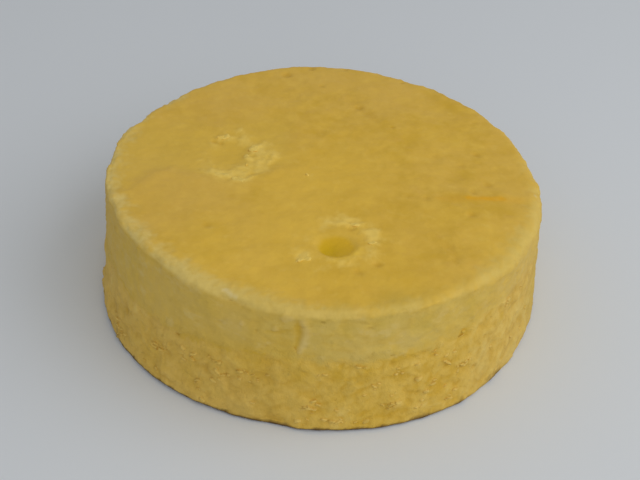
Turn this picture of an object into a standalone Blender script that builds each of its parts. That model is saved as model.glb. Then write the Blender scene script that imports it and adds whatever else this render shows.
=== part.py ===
"""Round two-layer cheesecake, uncut, modelled in metres with +Z up.

A crumbly golden base carries a smoother pale cream layer whose top is browned.
The origin is at the middle of the underside, and -Y is the front, where the
pit torn in the top lies. Angles run anticlockwise from +X.
"""
import math

import bmesh
import bpy
from mathutils import Vector, noise

MM = 0.001

# Outline of the whole cake
HEIGHT = 35.0 * MM  # underside to the pale rim of the top
TOP_RADIUS = 59.1 * MM
FOOT_RADIUS = 63.0 * MM
FLARE_POWER = 1.3  # above 1 the wall spreads mostly near its foot
# Each lobe is (waves round the cake, share of the radius, crest in degrees)
TOP_LOBES = ((2, 0.0066, 35), (3, 0.0061, -38), (4, 0.0080, -2), (5, 0.0053, -27))
FOOT_LOBES = ((2, 0.0060, 76), (3, 0.0090, 18), (4, 0.0095, 38), (5, 0.0040, 4))
# Places where the top bulges: angle and half width in degrees, and size
TOP_BULGES = ((167, 10, 1.3 * MM), (27, 10, 0.6 * MM))

# Where the two layers meet
SEAM_HEIGHT = 18.6 * MM
SEAM_WAVES = ((1, 3.0 * MM, -22), (5, 1.3 * MM, -94))  # like the lobes, in metres
SEAM_GRAIN = 0.5 * MM
SEAM_SETTLES = (0.25, 1.0)  # shares of the radius between which the waves grow
LAYER_GAP = 0.3 * MM

# Crumbly wall of the base
FOOT_ROUND = 1.2 * MM
BASE_PROUD = 0.5 * MM  # the base stands out this far past the cream
FLAKE_LENGTH = 5.5 * MM
FLAKE_HEIGHT = 3.6 * MM
FLAKE_RELIEF = 1.1 * MM
CRUMB_SIZE = 3.4 * MM
CRUMB_RELIEF = 0.5 * MM

# Wall and shoulder of the cream
CREAM_SWELL = 0.30 * MM
CREAM_SWELL_SIZE = 11.0 * MM
CRUMBY_SIDE = (0, 75)  # middle and half width, in degrees, of the rougher stretch
SHOULDER_WIDTH = 3.2 * MM
SHOULDER_DROP = 2.2 * MM
RIM_NICK = 0.55 * MM
RIM_NICK_SIZE = 5.0 * MM

# Browned top
SKIN_THICKNESS = 0.5 * MM
SKIN_RADIUS = 55.5 * MM
SKIN_EDGE = 1.4 * MM
SKIN_WANDER = 1.2 * MM
TOP_SWELL = 0.40 * MM
TOP_SWELL_SIZE = 22.0 * MM
TOP_GRAIN = 0.14 * MM
TOP_GRAIN_SIZE = 6.0 * MM

# Places where the skin is torn: middle, half widths, hollow and rubble round it
TORN_PLACES = (
    {"middle": (-24.5, 5.5), "reach": (11.5, 13.0), "hollow": (-27.4, 5.6),
     "hollow_reach": (6.4, 6.2), "depth": 1.3, "rubble": 1.0},
    {"middle": (5.2, -30.0), "reach": (12.0, 11.5), "hollow": (4.3, -32.2),
     "hollow_reach": (5.8, 5.1), "depth": 2.8, "rubble": 0.8},
)
RUBBLE_SIZE = 4.2 * MM
TORN_EDGE_SIZE = 8.0 * MM

# Fold of the skin, from the left rim to the torn place behind it
FOLD_LINE = ((-56.0, -17.0), (-51.9, -14.0), (-47.8, -6.9), (-42.7, -4.4),
             (-34.3, -6.1), (-24.6, -7.1), (-14.4, 0.4), (-8.0, 2.5))
FOLD_DROP = 0.40 * MM
FOLD_WIDTH = 2.0 * MM
FOLD_REACH = 26.0 * MM

# Creases of the skin: start, end, depth and half width
CREASES = (
    {"start": (6.7, 40.4), "end": (15.9, 30.5), "depth": 0.7, "width": 1.8},
    {"start": (31.6, -27.2), "end": (34.1, -36.2), "depth": 0.5, "width": 1.6},
    {"start": (31.0, -6.7), "end": (48.0, -4.5), "depth": 0.4, "width": 1.5},
)

# How finely the shapes are divided
RIM_SIDES = 144
BASE_ROWS = 10
CREAM_ROWS = 5
SHOULDER_ROWS = 2
TOP_RING_STEP = 2.2 * MM
TOP_HALVED_AT = (19.0 * MM, 8.0 * MM)  # radii inside which a ring has half the sides
FLAT_RINGS = ((1, 0.935), (2, 0.80), (4, 0.55), (8, 0.28))  # sides divided by, radius share

# Colours in linear light, and roughness
BASE_COLOUR = (0.62, 0.36, 0.065)
CREAM_COLOUR = (0.76, 0.50, 0.11)
BASE_ROUGHNESS = 0.75
CREAM_ROUGHNESS = 0.60


def smooth(low, high, value):
    """Ease from 0 at low to 1 at high."""
    share = min(max((value - low) / (high - low), 0.0), 1.0)
    return share * share * (3.0 - 2.0 * share)


def grain(x, y, z, size, shift=0.0):
    """Signed smooth noise whose lumps are about one size across."""
    return noise.noise(Vector((x / size + shift, y / size - shift, z / size + shift)))


def waves(angle, terms):
    """Sum of the cosine waves given as (count, size, crest in degrees)."""
    return sum(size * math.cos(count * (angle - math.radians(crest)))
               for count, size, crest in terms)


def at_angle(radius, angle):
    return radius * math.cos(angle), radius * math.sin(angle)


def bulge(angle):
    """How far the top bulges out at an angle."""
    total = 0.0
    for middle, half_width, size in TOP_BULGES:
        away = abs(math.remainder(angle - math.radians(middle), math.tau))
        total += size * (1.0 - smooth(0.0, math.radians(half_width), away))
    return total


def wall_radius(angle, height):
    """Radius of the wall before any crumb relief."""
    top = TOP_RADIUS * (1.0 + waves(angle, TOP_LOBES)) + bulge(angle)
    foot = FOOT_RADIUS * (1.0 + waves(angle, FOOT_LOBES))
    share = max(1.0 - height / HEIGHT, 0.0) ** FLARE_POWER
    return top + (foot - top) * share


def seam_at_wall(angle):
    """Height at which the layers meet on the outside."""
    x, y = at_angle(TOP_RADIUS, angle)
    rough = SEAM_GRAIN * grain(x, y, 0.0, CREAM_SWELL_SIZE, 7.3)
    return SEAM_HEIGHT + waves(angle, SEAM_WAVES) + rough


def seam_height(angle, share):
    """Height of the seam at a share of the radius: nearly level in the middle."""
    grown = smooth(*SEAM_SETTLES, share)
    return SEAM_HEIGHT + (seam_at_wall(angle) - SEAM_HEIGHT) * grown


def flakes(x, y, z):
    """Rounded plates lying flat, parted by grooves, between 0 and about 1."""
    place = Vector((x / FLAKE_LENGTH, y / FLAKE_LENGTH, z / FLAKE_HEIGHT))
    near, second = noise.voronoi(place)[0][:2]
    return min((second - near) * 1.6, 1.0)


def base_relief(angle, height):
    """How far the crumb of the base stands out from the plain wall."""
    x, y = at_angle(wall_radius(angle, height), angle)
    plates = (flakes(x, y, height) - 0.5) * FLAKE_RELIEF
    crumbs = grain(x, y, height, CRUMB_SIZE, 3.1) * CRUMB_RELIEF
    return (plates + crumbs) * smooth(0.0, 2.0 * FOOT_ROUND, height)


def cream_relief(angle, height):
    """Soft swell of the cream wall, rougher on the crumby side."""
    x, y = at_angle(TOP_RADIUS, angle)
    middle, half_width = (math.radians(value) for value in CRUMBY_SIDE)
    away = abs(math.remainder(angle - middle, math.tau))
    crumby = 1.0 - smooth(0.5 * half_width, half_width, away)
    swell = CREAM_SWELL * grain(x, y, height, CREAM_SWELL_SIZE, 1.7)
    crumbs = CRUMB_RELIEF * grain(x, y, height, CRUMB_SIZE, 5.9)
    return swell + crumbs * (0.3 + 0.9 * crumby)


def to_segment(x, y, start, end):
    """Distance from a point to a segment given in millimetres, and its side."""
    run = Vector(end) - Vector(start)
    offset = Vector((x / MM, y / MM)) - Vector(start)
    share = min(max(offset.dot(run) / run.length_squared, 0.0), 1.0)
    gap = offset - run * share
    side = math.copysign(1.0, run.x * offset.y - run.y * offset.x)
    return gap.length * MM, side


def torn_relief(x, y, place):
    """Rubble and hollow of one torn place, and how far it replaces the skin."""
    across = (x / MM - place["middle"][0]) / place["reach"][0]
    along = (y / MM - place["middle"][1]) / place["reach"][1]
    ragged = 0.35 * grain(x, y, 0.0, TORN_EDGE_SIZE, 2.2)
    torn = 1.0 - smooth(0.75, 1.05, math.hypot(across, along) + ragged)
    lump = abs(grain(x, y, 0.0, RUBBLE_SIZE, 4.4)) * 2.0
    across = (x / MM - place["hollow"][0]) / place["hollow_reach"][0]
    along = (y / MM - place["hollow"][1]) / place["hollow_reach"][1]
    sunk = 1.0 - smooth(0.45, 1.1, math.hypot(across, along))
    raised = place["rubble"] * lump * torn * (1.0 - sunk)
    return (raised - place["depth"] * sunk) * MM, torn


def fold_relief(x, y):
    """Lower, thinner skin behind the fold."""
    nearest = min((to_segment(x, y, start, end)
                   for start, end in zip(FOLD_LINE, FOLD_LINE[1:])),
                  key=lambda found: found[0])
    distance, side = nearest
    behind = smooth(0.0, FOLD_WIDTH, distance * side)
    fades = 1.0 - smooth(0.5 * FOLD_REACH, FOLD_REACH, distance)
    inside = 1.0 - smooth(-14.0 * MM, -6.0 * MM, x)
    return -FOLD_DROP * behind * fades * inside


def crease_relief(x, y):
    depth = 0.0
    for crease in CREASES:
        distance, _ = to_segment(x, y, crease["start"], crease["end"])
        depth -= crease["depth"] * MM * (1.0 - smooth(0.0, crease["width"] * MM, distance))
    return depth


def top_relief(x, y):
    """Height of the top above the pale rim: browned skin, tears and folds."""
    angle = math.atan2(y, x)
    rim_distance = math.hypot(x, y) / (1.0 + waves(angle, TOP_LOBES))
    edge = SKIN_RADIUS + SKIN_WANDER * grain(x, y, 0.0, RIM_NICK_SIZE, 8.1)
    skin = 1.0 - smooth(edge - SKIN_EDGE, edge, rim_distance)
    relief = TOP_SWELL * grain(x, y, 0.0, TOP_SWELL_SIZE, 0.6)
    relief += TOP_GRAIN * grain(x, y, 0.0, TOP_GRAIN_SIZE, 6.5)
    for place in TORN_PLACES:
        raised, torn = torn_relief(x, y, place)
        relief += raised
        skin *= 1.0 - torn
    return relief + skin * (SKIN_THICKNESS + fold_relief(x, y) + crease_relief(x, y))


def ring(sides, point_at):
    """Points of one closed ring, anticlockwise from above."""
    return [point_at(math.tau * step / sides) for step in range(sides)]


def seam_rings(lift):
    """Rings of a seam surface, from near the rim to near the middle."""
    rings = []
    for divided_by, share in FLAT_RINGS:
        def point_at(angle, share=share):
            x, y = at_angle(wall_radius(angle, SEAM_HEIGHT) * share, angle)
            return Vector((x, y, seam_height(angle, share) + lift))
        rings.append(ring(RIM_SIDES // divided_by, point_at))
    return rings


def underside_rings():
    """Flat rings of the underside, from near the middle to the foot."""
    rings = []
    for divided_by, share in reversed(FLAT_RINGS[1:]):
        def point_at(angle, share=share):
            return Vector((*at_angle(wall_radius(angle, 0.0) * share, angle), 0.0))
        rings.append(ring(RIM_SIDES // divided_by, point_at))
    return rings


def foot_rings():
    """The rounded bottom edge, from the flat underside to the wall."""
    rings = []
    for turn in (0.0, 45.0):
        inset = FOOT_ROUND * (1.0 - math.sin(math.radians(turn)))
        rise = FOOT_ROUND * (1.0 - math.cos(math.radians(turn)))

        def point_at(angle, inset=inset, rise=rise):
            radius = wall_radius(angle, rise) - inset
            return Vector((*at_angle(radius, angle), rise))
        rings.append(ring(RIM_SIDES, point_at))
    return rings


def base_wall_rings():
    """Crumbly wall of the base, from the foot up to the seam."""
    rings = []
    for row in range(BASE_ROWS + 1):
        def point_at(angle, share=row / BASE_ROWS):
            height = FOOT_ROUND + share * (seam_at_wall(angle) - LAYER_GAP / 2 - FOOT_ROUND)
            radius = wall_radius(angle, height) + base_relief(angle, height)
            return Vector((*at_angle(radius, angle), height))
        rings.append(ring(RIM_SIDES, point_at))
    return rings


def cream_radius(angle, height):
    return wall_radius(angle, height) - BASE_PROUD + cream_relief(angle, height)


def cream_wall_rings():
    """Wall of the cream, from the seam up to the shoulder."""
    rings = []
    for row in range(CREAM_ROWS + 1):
        def point_at(angle, share=row / CREAM_ROWS):
            start = seam_at_wall(angle) + LAYER_GAP / 2
            height = start + share * (HEIGHT - SHOULDER_DROP - start)
            return Vector((*at_angle(cream_radius(angle, height), angle), height))
        rings.append(ring(RIM_SIDES, point_at))
    return rings


def shoulder_rings():
    """Rounded shoulder, whose nicks grow from the wall to the rim."""
    rings = []
    for row in range(1, SHOULDER_ROWS + 1):
        turn = math.pi / 2 * row / (SHOULDER_ROWS + 1)

        def point_at(angle, turn=turn):
            radius = cream_radius(angle, HEIGHT - SHOULDER_DROP)
            radius -= SHOULDER_WIDTH * (1.0 - math.cos(turn))
            x, y = at_angle(radius, angle)
            nick = RIM_NICK * grain(x, y, 0.0, RIM_NICK_SIZE, 9.4)
            x, y = at_angle(radius + nick * math.cos(turn), angle)
            height = HEIGHT - SHOULDER_DROP * (1.0 - math.sin(turn))
            return Vector((x, y, height + (top_relief(x, y) + nick) * math.sin(turn)))
        rings.append(ring(RIM_SIDES, point_at))
    return rings


def top_rings():
    """Rings of the browned top, from the shoulder to near the middle."""
    rings = []
    radius = TOP_RADIUS - BASE_PROUD - SHOULDER_WIDTH
    while radius > TOP_RING_STEP:
        halvings = sum(radius < limit for limit in TOP_HALVED_AT)

        def point_at(angle, radius=radius):
            x, y = at_angle(radius * (1.0 + waves(angle, TOP_LOBES)), angle)
            return Vector((x, y, HEIGHT + top_relief(x, y)))
        rings.append(ring(RIM_SIDES >> halvings, point_at))
        radius -= TOP_RING_STEP
    return rings


def bridge(shell, lower, upper):
    """Join two rings of equal sides, or of one twice the other."""
    sides = max(len(lower), len(upper))
    wrap_lower = lower + lower[:1]
    wrap_upper = upper + upper[:1]
    if len(lower) == len(upper):
        for step in range(sides):
            shell.faces.new((wrap_lower[step], wrap_lower[step + 1],
                             wrap_upper[step + 1], wrap_upper[step]))
        return
    for step in range(sides // 2):
        if len(lower) < len(upper):
            start, end = wrap_lower[step:step + 2]
            left, middle, right = wrap_upper[2 * step:2 * step + 3]
            shell.faces.new((start, middle, left))
            shell.faces.new((start, end, middle))
            shell.faces.new((end, right, middle))
        else:
            start, end = wrap_upper[step:step + 2]
            left, middle, right = wrap_lower[2 * step:2 * step + 3]
            shell.faces.new((left, middle, start))
            shell.faces.new((middle, end, start))
            shell.faces.new((middle, right, end))


def close_ring(shell, loop, upwards):
    """Fan a ring to a point in its middle."""
    middle = shell.verts.new(sum((vert.co for vert in loop), Vector()) / len(loop))
    for start, end in zip(loop, loop[1:] + loop[:1]):
        shell.faces.new((start, end, middle) if upwards else (end, start, middle))


def layer_object(name, rings, material):
    """One closed solid from rings that run out, up the wall and in again."""
    shell = bmesh.new()
    loops = [[shell.verts.new(point) for point in points] for points in rings]
    close_ring(shell, loops[0], upwards=False)
    for lower, upper in zip(loops, loops[1:]):
        bridge(shell, lower, upper)
    close_ring(shell, loops[-1], upwards=True)
    bmesh.ops.triangulate(shell, faces=shell.faces[:])
    mesh = bpy.data.meshes.new(name)
    shell.to_mesh(mesh)
    shell.free()
    mesh.shade_smooth()
    mesh.set_sharp_from_angle(angle=math.radians(50))
    mesh.materials.append(material)
    layer = bpy.data.objects.new(name, mesh)
    bpy.context.scene.collection.objects.link(layer)
    return layer


def food_material(name, colour, roughness):
    material = bpy.data.materials.new(name)
    material.use_nodes = True
    surface = material.node_tree.nodes["Principled BSDF"]
    surface.inputs["Base Color"].default_value = (*colour, 1.0)
    surface.inputs["Roughness"].default_value = roughness
    surface.inputs["Metallic"].default_value = 0.0
    return material


def make_baked_base():
    """Coarse golden crumb that the cake stands on."""
    rings = underside_rings() + foot_rings() + base_wall_rings()
    rings += seam_rings(-LAYER_GAP / 2)
    material = food_material("golden_crumb", BASE_COLOUR, BASE_ROUGHNESS)
    return layer_object("baked_base", rings, material)


def make_cream_layer():
    """Smooth pale layer with the browned, torn and folded skin on top."""
    rings = seam_rings(LAYER_GAP / 2)[::-1] + cream_wall_rings()
    rings += shoulder_rings() + top_rings()
    material = food_material("browned_cream", CREAM_COLOUR, CREAM_ROUGHNESS)
    return layer_object("cream_layer", rings, material)


def make_cheesecake():
    for old in list(bpy.data.objects):
        bpy.data.objects.remove(old)
    make_baked_base()
    make_cream_layer()


make_cheesecake()
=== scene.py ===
# Layered cheesecake: crumb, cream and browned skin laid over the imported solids
import bpy
import math
import numpy as np
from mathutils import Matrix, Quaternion, Vector
from mathutils.bvhtree import BVHTree


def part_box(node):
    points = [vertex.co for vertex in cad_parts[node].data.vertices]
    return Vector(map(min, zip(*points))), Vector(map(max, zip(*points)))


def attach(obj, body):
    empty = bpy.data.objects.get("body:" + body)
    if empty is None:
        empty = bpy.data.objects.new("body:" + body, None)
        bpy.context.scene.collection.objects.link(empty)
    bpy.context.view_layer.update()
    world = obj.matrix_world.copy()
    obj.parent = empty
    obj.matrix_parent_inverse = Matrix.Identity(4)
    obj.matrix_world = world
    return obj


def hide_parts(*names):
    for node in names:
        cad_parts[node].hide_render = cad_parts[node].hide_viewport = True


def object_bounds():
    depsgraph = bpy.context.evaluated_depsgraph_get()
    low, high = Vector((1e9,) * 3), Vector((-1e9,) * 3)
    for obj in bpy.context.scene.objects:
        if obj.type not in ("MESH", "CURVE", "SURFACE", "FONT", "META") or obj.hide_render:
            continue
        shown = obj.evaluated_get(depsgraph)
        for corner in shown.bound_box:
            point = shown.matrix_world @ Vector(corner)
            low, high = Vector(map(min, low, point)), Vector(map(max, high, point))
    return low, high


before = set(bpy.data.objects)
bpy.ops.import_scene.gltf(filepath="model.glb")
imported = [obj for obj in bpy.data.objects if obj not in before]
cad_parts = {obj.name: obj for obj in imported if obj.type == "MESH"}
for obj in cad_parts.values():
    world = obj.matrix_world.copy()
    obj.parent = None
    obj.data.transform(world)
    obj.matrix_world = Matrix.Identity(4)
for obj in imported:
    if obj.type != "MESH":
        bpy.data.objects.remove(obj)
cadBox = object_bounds()
mm = 0.001
print("frame loaded:", sorted(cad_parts))


def wireMath(operation, swapped=False):
    # what a Python operator does to wires
    if swapped:
        return lambda wire, other: wire.calc(operation, other, wire)
    return lambda wire, *others: wire.calc(operation, wire, *others)


class Wire:
    # a node socket that takes part in Python arithmetic
    __add__ = __radd__ = wireMath("ADD")
    __sub__ = wireMath("SUBTRACT")
    __rsub__ = wireMath("SUBTRACT", swapped=True)
    __mul__ = __rmul__ = wireMath("MULTIPLY")
    __abs__ = wireMath("ABSOLUTE")
    normalized = wireMath("NORMALIZE")
    atLeast = wireMath("MAXIMUM")
    atMost = wireMath("MINIMUM")

    def __init__(self, graph, socket):
        self.graph = graph
        self.socket = socket
        self.isNumber = socket.type not in ("VECTOR", "RGBA")

    def __neg__(self):
        return self * -1.0

    def calc(self, operation, *values):
        numbers = all(isinstance(v, (int, float)) or getattr(v, "isNumber", False) for v in values)
        kind = "ShaderNodeMath" if numbers else "ShaderNodeVectorMath"
        return self.graph.add(kind, dict(enumerate(values)), operation=operation)

    def clipped(self):
        return self.atLeast(0.0).atMost(1.0)

    def part(self, axis):
        return self.graph.add("ShaderNodeSeparateXYZ", {0: self}, "XYZ".index(axis))


class Graph:
    def __init__(self, tree):
        self.tree = tree

    def add(self, kind, sockets=None, output=0, **settings):
        # the one way to any node: its settings first, then values or wires for its sockets
        node = self.tree.nodes.new(kind)
        for name, value in settings.items():
            setattr(node, name, value)
        for key, value in (sockets or {}).items():
            self.feed(node.inputs[key], value)
        return Wire(self, node.outputs[output])

    def feed(self, socket, value):
        if isinstance(value, Wire):
            self.tree.links.new(value.socket, socket)
        elif socket.type == "RGBA":
            socket.default_value = (*value, 1.0)
        elif socket.type == "VECTOR" and isinstance(value, (int, float)):
            socket.default_value = (value, value, value)
        else:
            socket.default_value = value

    def ease(self, low, high, value):
        # 0 below low, 1 above high, smooth between
        return self.add("ShaderNodeMapRange", {"Value": value, "From Min": low, "From Max": high},
                        interpolation_type="SMOOTHSTEP")

    def fade(self, low, high, value):
        return 1.0 - self.ease(low, high, value)

    def noise(self, place, size, detail, rough=0.5, output=0):
        sockets = {"Vector": place, "Scale": 1.0 / size, "Detail": detail, "Roughness": rough}
        return self.add("ShaderNodeTexNoise", sockets, output)

    def grain(self, place, size, detail=2.0, rough=0.5):
        # noise from -1 to 1 whose lumps are about one size across
        return self.noise(place, size, detail, rough) * 4.0 - 2.0

    def lumps(self, place, size):
        # rounded crumbs: 1 on top of each, about 0 in the cracks between them
        away = self.add("ShaderNodeTexVoronoi", {"Vector": place, "Scale": 1.0 / size, "Smoothness": 0.35},
                        feature="SMOOTH_F1")
        return 1.0 - away * away * 1.7

    def mix(self, share, first, second):
        # colours blend here, because Math would turn them grey
        return self.add("ShaderNodeMix", {0: share, 6: first, 7: second}, 2, data_type="RGBA")

    def paint(self, colours, colour, *coats):
        # coats over a first colour, each with its share; colours go by name or are wires
        def pick(value):
            return colours[value] if isinstance(value, str) else value

        colour = pick(colour)
        for share, coat in coats:
            colour = self.mix(share, colour, pick(coat))
        return colour

    def field(self, name):
        # what a shape's tree has stored on the points
        return self.add("ShaderNodeAttribute", output="Fac", attribute_name=name)

    def frayed(self, name, noise):
        return (self.field(name) + noise).clipped()


def crumbShape(g, place):
    # crumb of the base, which both layers share where they meet: lumps above 0, cracks below
    warp = g.noise(place, 4 * mm, 2.0, output="Color") - 0.5
    warped = place + warp * (3.5 * mm)
    big = g.lumps(warped * (1.0, 1.0, 1.3), 3.6 * mm)
    small = g.lumps(warped * (1.0, 1.0, 1.2), 1.7 * mm)
    swell = g.grain(place, 8 * mm, 3.0, 0.6)
    return big * 0.45 + small * 0.48 + swell * 0.30 - 0.53


def paleFlecks(g, place):
    # small flat flakes, paler than the crumb round them
    gathered = g.ease(-0.5, 0.8, g.grain(place, 8 * mm, 2.0))
    return g.ease(0.40, 1.0, g.grain(place * (1.0, 1.0, 1.9), 1.7 * mm, 2.0, 0.5)) * gathered


wallRelief = {
    "Wall Ripple": 0.42 * mm,
    "Bead Height": 0.32 * mm,
    "Nick Depth": 0.45 * mm,
    "Crumb Height": 0.55 * mm,
    "Fleck Height": 0.18 * mm,
}


def wallShape(g, place, share, crumby):
    # relief of the side, the same rule for both layers, so that one runs into the other
    level = place * (1.0, 1.0, 2.2)
    ripple = g.grain(place * (1.0, 1.0, 1.5), 6.0 * mm, 4.0, 0.62)
    bead = g.ease(0.45, 1.1, g.grain(place + (0.2, 0.1, 0.3), 1.9 * mm, 2.0, 0.6))
    nick = g.ease(0.55, 1.10, g.grain(level, 3.0 * mm, 2.0, 0.6)) * share
    smooth = g.inlet("Wall Ripple") * ripple + g.inlet("Bead Height") * bead
    smooth = smooth * share - g.inlet("Nick Depth") * nick
    crumb = crumbShape(g, place)
    crumbly = ((1.0 - share) + crumby * 0.6).atMost(1.0)
    rough = g.inlet("Crumb Height") * crumb + g.inlet("Fleck Height") * paleFlecks(g, place)
    return smooth + rough * crumbly, (crumb * crumbly + 0.5).clipped(), nick


def creamShare(g, place, above, crumby):
    # 0 in the crumb and 1 in the cream, with a ragged passage of a few millimetres
    ragged = g.grain(place, 6 * mm, 4.0, 0.65) * 2.4
    return g.ease(-1.0, 1.5, above + ragged - crumby * 2.5)


def placeObject(name, data):
    item = bpy.data.objects.new(name, data)
    bpy.context.scene.collection.objects.link(item)
    return item


class ShapeGraph(Graph):
    # a Geometry Nodes tree with named inputs for its sizes
    def __init__(self, name, sizes):
        super().__init__(bpy.data.node_groups.new(name, "GeometryNodeTree"))
        self.sizes = sizes
        sockets = self.tree.interface
        sockets.new_socket("Geometry", in_out="INPUT", socket_type="NodeSocketGeometry")
        for label in sizes:
            sockets.new_socket(label, in_out="INPUT", socket_type="NodeSocketFloat")
        sockets.new_socket("Geometry", in_out="OUTPUT", socket_type="NodeSocketGeometry")
        self.start = self.tree.nodes.new("NodeGroupInput")

    def inlet(self, label):
        return Wire(self, self.start.outputs[label])

    def place(self):
        return self.add("GeometryNodeInputPosition")

    def read(self, name, kind="FLOAT"):
        return self.add("GeometryNodeInputNamedAttribute", {"Name": name}, data_type=kind)

    def keep(self, geometry, fields):
        # stores each field on the points, where the finishes find it
        for name, value in fields.items():
            geometry = self.add("GeometryNodeStoreNamedAttribute",
                                {"Geometry": geometry, "Name": name, "Value": value},
                                data_type="FLOAT", domain="POINT")
        return geometry

    def move(self, geometry, offset):
        return self.add("GeometryNodeSetPosition", {"Geometry": geometry, "Offset": offset})

    def scatter(self, points, item, turn, scale):
        # an item on every point, as real geometry
        items = self.add("GeometryNodeInstanceOnPoints",
                         {"Points": points, "Instance": item, "Rotation": turn, "Scale": scale})
        return self.add("GeometryNodeRealizeInstances", {"Geometry": items})

    def jitter(self, size, detail):
        # a random push with lumps of one size
        return (self.noise(self.place(), size, detail, output="Color") - 0.5) * self.inlet("Jag")

    def randomNumber(self, low, high, seed):
        return self.add("FunctionNodeRandomValue", {2: low, 3: high, "Seed": seed}, 1, data_type="FLOAT")

    def close(self, geometry, material):
        geometry = self.add("GeometryNodeRealizeInstances", {"Geometry": geometry})
        geometry = self.add("GeometryNodeSetShadeSmooth", {"Geometry": geometry})
        geometry = self.add("GeometryNodeSetMaterial", {"Geometry": geometry, "Material": material})
        end = self.tree.nodes.new("NodeGroupOutput")
        self.tree.links.new(geometry.socket, end.inputs[0])
        return self

    def run(self, host, name):
        # the tree's result on a host mesh, as a plain mesh object of its own
        modifier = host.modifiers.new(name, "NODES")
        modifier.node_group = self.tree
        for item in self.tree.interface.items_tree:
            if item.in_out == "INPUT" and item.name in self.sizes:
                modifier[item.identifier] = self.sizes[item.name]
        depsgraph = bpy.context.evaluated_depsgraph_get()
        evaluated = host.evaluated_get(depsgraph)
        mesh = bpy.data.meshes.new_from_object(evaluated, preserve_all_data_layers=True, depsgraph=depsgraph)
        mesh.name = name
        host.modifiers.remove(modifier)
        return placeObject(name, mesh)


def showPiece(piece, slotName, *nodes):
    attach(piece, "root")
    if nodes:
        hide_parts(*nodes)
    print(piece.name, len(piece.data.vertices), "points")


def anglesOf(sides):
    return np.arange(sides) * (math.tau / sides)


def surfaceTree(mesh):
    return BVHTree.FromPolygons([v.co[:] for v in mesh.vertices], [p.vertices[:] for p in mesh.polygons])


def castWall(node, angles, heights):
    # radius of a node's wall at each height (rows) and angle (columns), found from well outside
    tree = surfaceTree(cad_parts[node].data)
    reach = 2 * max(cadBox[1].x, cadBox[1].y)
    radii = np.empty_like(heights)
    for column, angle in enumerate(angles):
        inward = Vector((-math.cos(angle), -math.sin(angle), 0.0))
        for row in range(len(heights)):
            start = Vector((0.0, 0.0, heights[row, column])) - inward * reach
            radii[row, column] = reach - tree.ray_cast(start, inward)[3]
    return radii


def evened(values, times):
    # blurs rows and columns a little, so that no facet of the solids shows
    for _ in range(times):
        values = (np.roll(values, 1, 1) + 2 * values + np.roll(values, -1, 1)) / 4
        padded = np.pad(values, ((1, 1), (0, 0)), mode="edge")
        values = (padded[:-2] + 2 * values + padded[2:]) / 4
    return values


def seamFromFrame(angles):
    # height at which the cream's wall starts, all the way round
    bins = 144
    wallShare = 0.97
    co = np.array([v.co[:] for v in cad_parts["cream_layer"].data.vertices])
    turn = np.arctan2(co[:, 1], co[:, 0]) % math.tau
    outer = np.hypot(co[:, 0], co[:, 1]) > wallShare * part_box("cream_layer")[1].x
    places = np.rint(turn[outer] / math.tau * bins).astype(int) % bins
    lowest = np.full(bins, np.inf)
    np.minimum.at(lowest, places, co[outer, 2])
    found = np.isfinite(lowest)
    return np.interp(angles, anglesOf(bins)[found], lowest[found], period=math.tau)


def ringAt(radius, height, angles, outward):
    # one ring with its points and the way its relief pushes them: (sideways, upward)
    flat = np.stack([np.cos(angles), np.sin(angles)], 1)
    points = np.column_stack([flat * np.reshape(radius, (-1, 1)), np.broadcast_to(height, len(angles))])
    push = np.column_stack([flat * outward[0], np.full(len(angles), outward[1])])
    return points, push


def joinRings(lower, upper):
    # faces between two rings of equal sides, or of one twice the other
    (a, n), (b, m) = lower, upper
    step = np.arange(min(n, m))
    after = (step + 1) % min(n, m)
    if n == m:
        return np.stack([a + step, a + after, b + after, b + step], 1).tolist()
    if n < m:
        left, middle, right = b + 2 * step, b + 2 * step + 1, b + (2 * step + 2) % m
        faces = [(a + step, middle, left), (a + step, a + after, middle), (a + after, right, middle)]
    else:
        left, middle, right = a + 2 * step, a + 2 * step + 1, a + (2 * step + 2) % n
        faces = [(left, middle, b + step), (middle, b + after, b + step), (middle, right, b + after)]
    return np.concatenate([np.stack(face, 1) for face in faces]).tolist()


def ringSolid(name, rings):
    # a closed solid from rings that run out below, up the wall and in again on top
    first, last = rings[0][0].mean(0), rings[-1][0].mean(0)
    points = np.concatenate([first[None]] + [ring[0] for ring in rings] + [last[None]])
    pushes = np.concatenate([[[0, 0, 0]]] + [ring[1] for ring in rings] + [[[0, 0, 1]]])
    spans, start = [], 1
    for ring in rings:
        spans.append((start, len(ring[0])))
        start += len(ring[0])
    faces = []
    for lower, upper in zip(spans, spans[1:]):
        faces += joinRings(lower, upper)
    start, sides = spans[0]
    faces += [(start + (i + 1) % sides, start + i, 0) for i in range(sides)]
    start, sides = spans[-1]
    faces += [(start + i, start + (i + 1) % sides, len(points) - 1) for i in range(sides)]
    mesh = bpy.data.meshes.new(name)
    mesh.from_pydata(points.tolist(), [], faces)
    setField(mesh, "push", pushes)
    return placeObject(name, mesh), points


def setField(mesh, name, values):
    vector = np.ndim(values) == 2
    field = mesh.attributes.new(name, "FLOAT_VECTOR" if vector else "FLOAT", "POINT")
    field.data.foreach_set("vector" if vector else "value", np.ravel(values).astype(np.float32))


def easeArray(low, high, values):
    share = np.clip((values - low) / (high - low), 0, 1)
    return share * share * (3 - 2 * share)


def spotField(x, y, spots):
    # 1 at the middle of a spot, 0 at its edge, negative outside them all
    best = np.full_like(x, -9.0)
    for middleX, middleY, reach in spots:
        best = np.maximum(best, 1 - np.hypot(x - middleX, y - middleY) / reach)
    return best


def cloudField(x, y, spots):
    # soft spots that run into each other: x, y, radius and strength
    total = np.zeros_like(x)
    for middleX, middleY, reach, strength in spots:
        total += strength * np.exp(-((x - middleX) ** 2 + (y - middleY) ** 2) / reach ** 2)
    return total


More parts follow.
